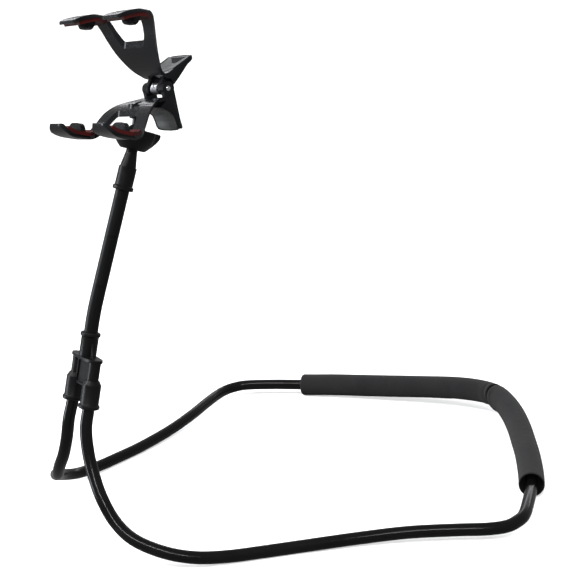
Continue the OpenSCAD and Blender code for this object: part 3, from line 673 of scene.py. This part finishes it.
class Shells:
    """Closed shells in the connector's frame that are gathered into one object."""

    def __init__(self):
        self.points = []
        self.faces = []

    def lathe(self, section, middle_x):
        """The section turned about the upright line at middle_x."""
        first = len(self.points)
        for r, z in section:
            for a in around(LATHE_SIDES):
                self.points.append(CONNECTOR @ Vector((middle_x + r * math.cos(a), r * math.sin(a), z)))
        self.faces += grid_faces(len(section), LATHE_SIDES, first, flip=True)
        last = first + (len(section) - 1) * LATHE_SIDES
        for k in range(LATHE_SIDES):
            n = (k + 1) % LATHE_SIDES
            self.faces.append((last + k, last + n, first + n, first + k))

    def slab(self, outline, way, thick):
        """The outline made thick: an upright one to both sides in Y, one of (across, depth)
        up and down from the plate's height."""
        first = len(self.points)
        count = len(outline)
        upright = way == "Y"
        for shift in (-thick / 2, thick / 2):
            for u, v in outline:
                place = Vector((u, shift, v)) if upright else Vector((u, v, PLATE_UP + shift))
                self.points.append(CONNECTOR @ place)
        for k in range(count):
            n = (k + 1) % count
            quad = (first + k, first + n, first + count + n, first + count + k)
            self.faces.append(quad[::-1] if upright else quad)
        low = tuple(range(first, first + count))
        high = tuple(k + count for k in low)
        self.faces += [low, high[::-1]] if upright else [low[::-1], high]

    def finish(self, name):
        obj = new_object(name, self.points, self.faces, SATIN)
        soften(obj, PLASTIC_EDGE)
        return obj


def superellipse(half_w, half_d, power, count=72):
    points = []
    for a in around(count):
        c, d = math.cos(a), math.sin(a)
        points.append((half_w * math.copysign(abs(c) ** (2 / power), c),
                       half_d * math.copysign(abs(d) ** (2 / power), d)))
    return points


def box(left, right, low, high):
    return [(left, low), (right, low), (right, high), (left, high)]


def to_side(side, outline):
    """The outline at the side of -1 or 1, running the same way round."""
    moved = [(side * u, v) for u, v in outline]
    return moved if side > 0 else moved[::-1]


half_pitch = LEG_PITCH / 2
body = Shells()
body.slab(superellipse(*PLATE_HALF, PLATE_POWER), "Z", PLATE_THICK)
body.lathe(BARREL_SECTION, 0.0)
for side in (-1, 1):
    body.slab(to_side(side, FIN_OUTLINE), "Y", FIN_THICK)
    body.lathe(STUB_SECTION, half_pitch * side)
    body.slab(to_side(side, box(*RIDGE_ACROSS, WEB_LOW, PLATE_UP)), "Y", RIDGE_THICK)
body.slab(box(-half_pitch, half_pitch, WEB_LOW, PLATE_UP), "Y", WEB_THICK)
body.slab(box(-BAR_HALF, BAR_HALF, WEB_LOW - 0.2, WEB_LOW + 1.4), "Y", BAR_THICK)
connector = body.finish("connector")
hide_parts("y_body")
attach(connector, "base")

for side, name in ((-1, "left"), (1, "right")):
    shell = Shells()
    shell.lathe(COUPLER_SECTION, half_pitch * side)
    coupler = shell.finish(name + "_leg_coupler")
    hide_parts(name + "_coupler")
    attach(coupler, "base")


# Locking nut: a flared bowl with lobes

NUT_SIDES = 180
NUT_R = 16.0
NUT_FOOT_R = 8.0
NUT_H = 13.4
NUT_LOBES = 5
NUT_TURN = 7.25        # degrees
NUT_OVER_BALL = 2.6 + 0.3  # from the middle of the ball up to the rim
FLARE_TOP = 0.84       # the share of the height at which the flare is done
FLARE_POWER = 1.45
VALLEY_FAR = 1.28      # the valleys are cut by cylinders that stand this many radii out
VALLEY_DEPTH = 3.0
NO_VALLEY = 1.2        # the same, where no cylinder reaches
RIDGE_SOFT = 0.2       # how softly the flare and the valleys meet
NUT_MARGIN = 0.03
NUT_BORE = [(9.9, NUT_H - 0.05), (9.6, NUT_H - 0.5), (9.6, NUT_H * 0.48), (4.5, NUT_H * 0.10), (4.3, 0.0)]


def nut_radius(h, a):
    """The nut's outer radius at height h and angle a."""
    t = h / NUT_H
    flare = NUT_FOOT_R + (NUT_R - NUT_FOOT_R) * (1 - (1 - min(t / FLARE_TOP, 1.0)) ** FLARE_POWER)
    lobe = FULL_TURN / NUT_LOBES
    off = ((a / lobe) % 1.0 - 0.5) * lobe
    far = NUT_R * VALLEY_FAR
    cut = far - NUT_R + VALLEY_DEPTH
    inside = cut * cut - (far * math.sin(off)) ** 2
    valley = far * math.cos(off) - math.sqrt(inside) if inside > 0 else NUT_R * NO_VALLEY
    soft = -math.log(math.exp(-flare / RIDGE_SOFT) + math.exp(-valley / RIDGE_SOFT)) * RIDGE_SOFT
    return min(soft, NUT_R - NUT_MARGIN)


def nut_mesh():
    place = Matrix.Translation(BALL - (NUT_H - NUT_OVER_BALL) * ARM) @ Matrix.Rotation(-ARM_LEAN, 4, "X")
    # Rings: height, and a step in or out from the nut's radius there
    rings = [(0.0, -0.9), (0.05, -0.45), (0.25, -0.15), (0.6, 0.0)]
    rings += [(h, 0.0) for h in np.linspace(1.0, NUT_H - 0.9, 26).tolist()]
    rings += [(NUT_H - 0.5, -0.12), (NUT_H - 0.2, -0.35), (NUT_H - 0.05, -0.7), (NUT_H, -1.1), (NUT_H, -2.2)]
    points = []
    for h, shift in rings:
        for a in around(NUT_SIDES):
            r = nut_radius(h, a - math.radians(NUT_TURN)) + shift
            points.append(place @ Vector((r * math.cos(a), r * math.sin(a), h)))
    for r, h in NUT_BORE:
        points += [place @ Vector((r * math.cos(a), r * math.sin(a), h)) for a in around(NUT_SIDES)]
    rows = len(rings) + len(NUT_BORE)
    faces = grid_faces(rows, NUT_SIDES, flip=True)
    last = (rows - 1) * NUT_SIDES
    for k in range(NUT_SIDES):
        n = (k + 1) % NUT_SIDES
        faces.append((n, last + n, last + k, k))
    return new_object("lobed_nut", points, faces, SATIN)


nut = nut_mesh()
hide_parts("locking_nut")
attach(nut, "nut")


# Spring at the pin: nearly four curls between two straight ends, one for each jaw

WIRE_R = 0.6
WIRE_SIDES = 14
CURL_R = 3.3
CURL_PITCH = 1.9
FIRST_ANGLE = 206.0
LAST_ANGLE = 157.0 + 360.0 * 4
SPRING_LEG = 13.5      # how far the straight ends reach past the curls
LEG_FROM = 1.2
LEG_POINTS = 12
CURL_POINTS = 150
SPRING_HALF = CURL_PITCH * (LAST_ANGLE - FIRST_ANGLE) / 720


def curl_place(a):
    x = -SPRING_HALF + CURL_PITCH * (a - FIRST_ANGLE) / 360
    return Vector((x, -CURL_R * math.cos(math.radians(a)), CURL_R * math.sin(math.radians(a))))


def curl_way(a):
    return Vector((0.0, math.sin(math.radians(a)), math.cos(math.radians(a))))


def spring_mesh():
    leg = np.linspace(SPRING_LEG, LEG_FROM, LEG_POINTS).tolist()
    line = [curl_place(FIRST_ANGLE) - s * curl_way(FIRST_ANGLE) for s in leg]
    line += [curl_place(a) for a in np.linspace(FIRST_ANGLE, LAST_ANGLE, CURL_POINTS).tolist()]
    line += [curl_place(LAST_ANGLE) + s * curl_way(LAST_ANGLE) for s in leg[::-1]]
    line = np.array([PIN @ p for p in line])
    across = tuple(PIN.to_3x3() @ Vector((1, 0, 0)))
    return sweep("pin_spring", line, lambda s: WIRE_R, WIRE_SIDES, STEEL, start=across)


spring = spring_mesh()
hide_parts("torsion_spring")
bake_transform(spring)


# Wings: a dished finger plate on two side walls, over the flat wing of each jaw.
# Rows: share of the length, outer edge (forward, up), inner edge (forward, up), half width, dish,
# depth of the web.

UPPER_WING = [
    (0.00, 1.8, 9.3, -4.0, 3.0, 12.9, 0.2, 2.0), (0.15, -0.7, 11.3, -4.7, 4.3, 13.3, 0.7, 2.6),
    (0.35, -3.6, 14.6, -6.4, 7.0, 13.5, 1.8, 3.9), (0.55, -6.9, 17.4, -8.4, 10.4, 13.6, 2.4, 4.5),
    (0.75, -10.3, 20.2, -10.6, 14.2, 13.7, 2.4, 4.2), (0.88, -12.6, 22.2, -12.2, 17.2, 13.8, 2.0, 3.4),
    (0.95, -14.0, 23.3, -14.0, 18.9, 13.8, 1.5, 3.0), (1.00, -15.1, 23.5, -15.6, 20.6, 13.4, 0.9, 2.0),
    (1.05, -15.9, 24.0, -16.7, 21.9, 11.8, 0.7, 1.2), (1.09, -16.6, 24.3, -17.3, 22.7, 9.0, 0.5, 0.8),
    (1.12, -17.0, 24.5, -17.7, 23.3, 5.0, 0.3, 0.6), (1.13, -17.1, 24.5, -17.8, 23.5, 1.5, 0.1, 0.5),
]
LOWER_WING = [
    (0.00, 4.6, -13.2, -2.6, -3.8, 12.9, 0.2, 6.8), (0.20, 1.2, -14.0, -3.9, -4.8, 13.2, 0.7, 6.3),
    (0.40, -2.4, -15.2, -5.2, -6.9, 13.4, 1.3, 6.1), (0.60, -5.9, -17.2, -6.8, -10.2, 13.5, 1.6, 4.1),
    (0.78, -8.3, -20.8, -8.9, -14.6, 13.6, 1.3, 3.4), (0.90, -9.5, -23.3, -10.9, -18.4, 13.6, 0.9, 3.0),
    (1.00, -10.7, -25.0, -12.7, -22.0, 12.9, 0.5, 2.0), (1.05, -11.3, -25.5, -13.5, -23.4, 11.2, 0.4, 1.3),
    (1.09, -12.0, -25.7, -13.9, -24.3, 9.2, 0.5, 0.9), (1.12, -12.3, -25.9, -14.1, -24.8, 5.0, 0.3, 0.6),
    (1.13, -12.4, -25.9, -14.2, -25.0, 1.5, 0.1, 0.5),
]
WING_FIRST = 0.0
WING_LAST = 1.13
WING_ROWS = 46
WING_WALL = 1.8
WING_RIM = 1.5
WING_EDGE = 0.7
DISH_POWER = 0.75      # how full the dish is
# Shares of the half width at which a wing's outer face has points, close together at its edges
EDGE_SHARES = [0.87, 0.91, 0.945, 0.965, 0.985, 1.0]
WING_SHARES = [-share for share in EDGE_SHARES[::-1]] + np.linspace(-0.8, 0.8, 17).tolist() + EDGE_SHARES

PAD_FIRST = 0.16
PAD_LAST = 1.06
PAD_ROWS = 40
PAD_IN = 0.22          # the shares of the length over which the pad widens at its ends
PAD_OUT = 0.14
PAD_RIM = 2.0          # how far the pad's sides stay from the wing's
PAD_RISE = 0.45
PAD_SINK = 0.3
PAD_ROUND = 2.2        # how round its tips are
PAD_FLAT = 6           # how flat its top is
PAD_SHARES = np.linspace(-1, 1, 25).tolist()


def wing_rows(table, first, last, count):
    """The table's values at even steps from first to last."""
    table = np.array(table)
    steps = np.linspace(first, last, count)
    return steps, np.stack([np.interp(steps, table[:, 0], table[:, k]) for k in range(1, 8)], axis=1)


def dish_depth(x, half, dish):
    """How deep the finger plate lies at x across the wing: a rounded edge, a rim, then the dish."""
    side = abs(x)
    if side > half - WING_EDGE:
        t = (side - half + WING_EDGE) / WING_EDGE
        return WING_EDGE * (1 - math.sqrt(max(0.0, 1 - t * t)))
    inside = max(half - WING_RIM, 0.1)
    return dish * max(0.0, 1 - (side / inside) ** 2) ** DISH_POWER


def wing_point(row, x, depth):
    """The point at x across the wing, depth below its outer edge."""
    out = np.array(row[0:2])
    way = np.array(row[2:4]) - out
    way = way / np.linalg.norm(way)
    forward, high = out + depth * way
    return PIN @ Vector((x, -forward, high))


def wing_faces(table, rows, sides):
    """The faces of a closed form of rows, with its two end caps last."""
    upper = table is UPPER_WING
    ring = tuple(range(sides))
    cap = tuple((rows - 1) * sides + k for k in ring)
    return grid_faces(rows, sides, flip=not upper) + ([ring, cap[::-1]] if upper else [ring[::-1], cap])


def wing_shell(name, table, rides_on):
    points = []
    _, rows = wing_rows(table, WING_FIRST, WING_LAST, WING_ROWS)
    for row in rows:
        half, dish, web = row[4:7]
        long = math.hypot(row[2] - row[0], row[3] - row[1])
        web = min(web, long - 0.4)
        wall = min(WING_WALL, half * 0.6)
        loop = [(half * share, dish_depth(half * share, half, dish)) for share in WING_SHARES]
        # Down the side wall, round its foot and back up its inner side to the web
        side = [(half, long - 0.5), (half - 0.4 * wall / WING_WALL, long), (half - 0.8 * wall, long),
                (half - wall, long - 0.3), (half - wall, web)]
        loop += side + [(-x, depth) for x, depth in side[::-1]]
        points += [wing_point(row, x, depth) for x, depth in loop]
    faces = wing_faces(table, len(rows), len(loop))
    shell = new_object(name, points, faces, CLAW)
    flat_faces(shell, len(faces) - 2)
    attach(shell, rides_on)


def finger_pad(name, table, node, rides_on):
    """The grip pad that lies in the dish of the finger plate."""
    points = []
    steps, rows = wing_rows(table, PAD_FIRST, PAD_LAST, PAD_ROWS)
    for t, row in zip(steps, rows):
        end = min((t - PAD_FIRST) / PAD_IN, (PAD_LAST - t) / PAD_OUT, 1.0)
        half = max(row[4] - PAD_RIM, 0.5) * math.sqrt(max(0.02, 1 - (1 - end) ** PAD_ROUND))
        thin = min(1.0, end * 3 + 0.15)
        top = [(half * k, PAD_RISE * (1 - abs(k) ** PAD_FLAT) * thin) for k in PAD_SHARES]
        loop = [(x, dish_depth(x, row[4], row[5]) - rise) for x, rise in top]
        loop += [(x, dish_depth(x, row[4], row[5]) + PAD_SINK) for x, rise in top[::-1]]
        points += [wing_point(row, x, depth) for x, depth in loop]
    pad = new_object(name, points, wing_faces(table, len(rows), len(loop)), GREY)
    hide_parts(node)
    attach(pad, rides_on)


wing_shell("upper_wing_shell", UPPER_WING, "upper_clip")
wing_shell("lower_wing_shell", LOWER_WING, "lower_clip")
finger_pad("upper_finger_pad", UPPER_WING, "upper_wing_pad", "upper_clip")
finger_pad("lower_finger_pad", LOWER_WING, "lower_wing_pad", "lower_clip")


# Pieces of the model that keep their own shape, with rounded edges

def dress(node, material, bevel, segments=3):
    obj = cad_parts[node]
    if not obj.material_slots:
        obj.data.materials.append(material)
    for place in obj.material_slots:
        place.material = material
    soften(obj, bevel, segments)
    obj.data.polygons.foreach_set("use_smooth", [True] * len(obj.data.polygons))


for node in ("end_sleeve", "ball_socket"):
    dress(node, SATIN, bevel=0.3)
dress("ball_seat", LINER, bevel=0.15)
dress("ball_stud", CLAW, bevel=0.2)
dress("stud_screw", STEEL, bevel=0.15)
for node in ("lower_jaw", "upper_jaw"):
    dress(node, CLAW, bevel=0.85, segments=5)
for node in ("lower_left_pad", "lower_right_pad", "upper_left_pad", "upper_right_pad"):
    dress(node, RED, bevel=0.35)
dress("pivot_pin", CHROME, bevel=0.2)


# Floor and light

FLOOR_SIDES = 64
FLOOR_REACHES = (1500.0, 6000.0, 30000.0, 120000.0)


def floor_mesh():
    """A flat disc that reaches the horizon on all sides."""
    points = [(0.0, 0.0, 0.0)]
    for reach in FLOOR_REACHES:
        points += [(reach * math.cos(a), reach * math.sin(a), 0.0) for a in around(FLOOR_SIDES)]
    faces = [(0, 1 + k, 1 + (k + 1) % FLOOR_SIDES) for k in range(FLOOR_SIDES)]
    faces += grid_faces(len(FLOOR_REACHES), FLOOR_SIDES, first=1)
    return new_object("floor", points, faces, plain("pale_floor", (0.95, 0.95, 0.95), roughness=0.9))


floor = floor_mesh()
floor.visible_diffuse = False
floor.visible_glossy = False

# The studio is white where it shows past the floor, and lights the object only softly
WORLD_LIGHT = 0.3
WORLD_SEEN = 1.2

world = bpy.data.worlds.new("studio")
scene.world = world
world.use_nodes = True
background = world.node_tree.nodes["Background"]
background.inputs["Color"].default_value = (1.0, 1.0, 1.0, 1.0)
ray = world.node_tree.nodes.new("ShaderNodeLightPath")
brightness = world.node_tree.nodes.new("ShaderNodeMapRange")
brightness.inputs["To Min"].default_value = WORLD_LIGHT
brightness.inputs["To Max"].default_value = WORLD_SEEN
world.node_tree.links.new(ray.outputs["Is Camera Ray"], brightness.inputs["Value"])
world.node_tree.links.new(brightness.outputs["Result"], background.inputs["Strength"])


def add_light(name, kind, power, way):
    data = bpy.data.lights.new(name, kind)
    data.energy = power
    light = bpy.data.objects.new(name, data)
    scene.collection.objects.link(light)
    light.rotation_euler = way.to_track_quat("-Z", "Y").to_euler()
    return light


SUN_WAY = Vector((-0.50, 0.28, -1.0))
SUN_WIDTH = math.radians(50.0)


def sun_light(name, power, shadow):
    """A wide sun from above and a little from the camera's side, which no gloss shows."""
    light = add_light(name, "SUN", power, SUN_WAY)
    light.data.angle = SUN_WIDTH
    light.visible_glossy = False
    light.data.use_shadow = shadow
    light.data.cycles.cast_shadow = shadow


def strip_light(name, place, target, width, height, power, color):
    """A long panel, in metres and watts; the tubes show it as a thin line."""
    light = add_light(name, "AREA", power, Vector(target) - Vector(place))
    light.location = place
    light.data.shape = "RECTANGLE"
    light.data.size = width
    light.data.size_y = height
    light.data.color = color


# The second sun throws no shadow, so the shadow of the first is faint on the floor
sun_light("wide_top", power=2.0, shadow=True)
sun_light("even_top", power=2.4, shadow=False)
strip_light("left_strip", (-0.55, -0.95, 0.45), (0.0, -0.12, 0.15),
            width=0.35, height=1.1, power=12.0, color=(0.88, 0.94, 1.0))
strip_light("front_strip", (0.25, -1.10, 1.35), (0.0, 0.0, 0.02),
            width=2.6, height=0.08, power=26.0, color=(1.0, 0.98, 0.96))
strip_light("back_strip", (-1.50, 0.75, 0.75), (0.0, 0.0, 0.05),
            width=3.4, height=0.16, power=5.0, color=(0.95, 0.95, 1.0))
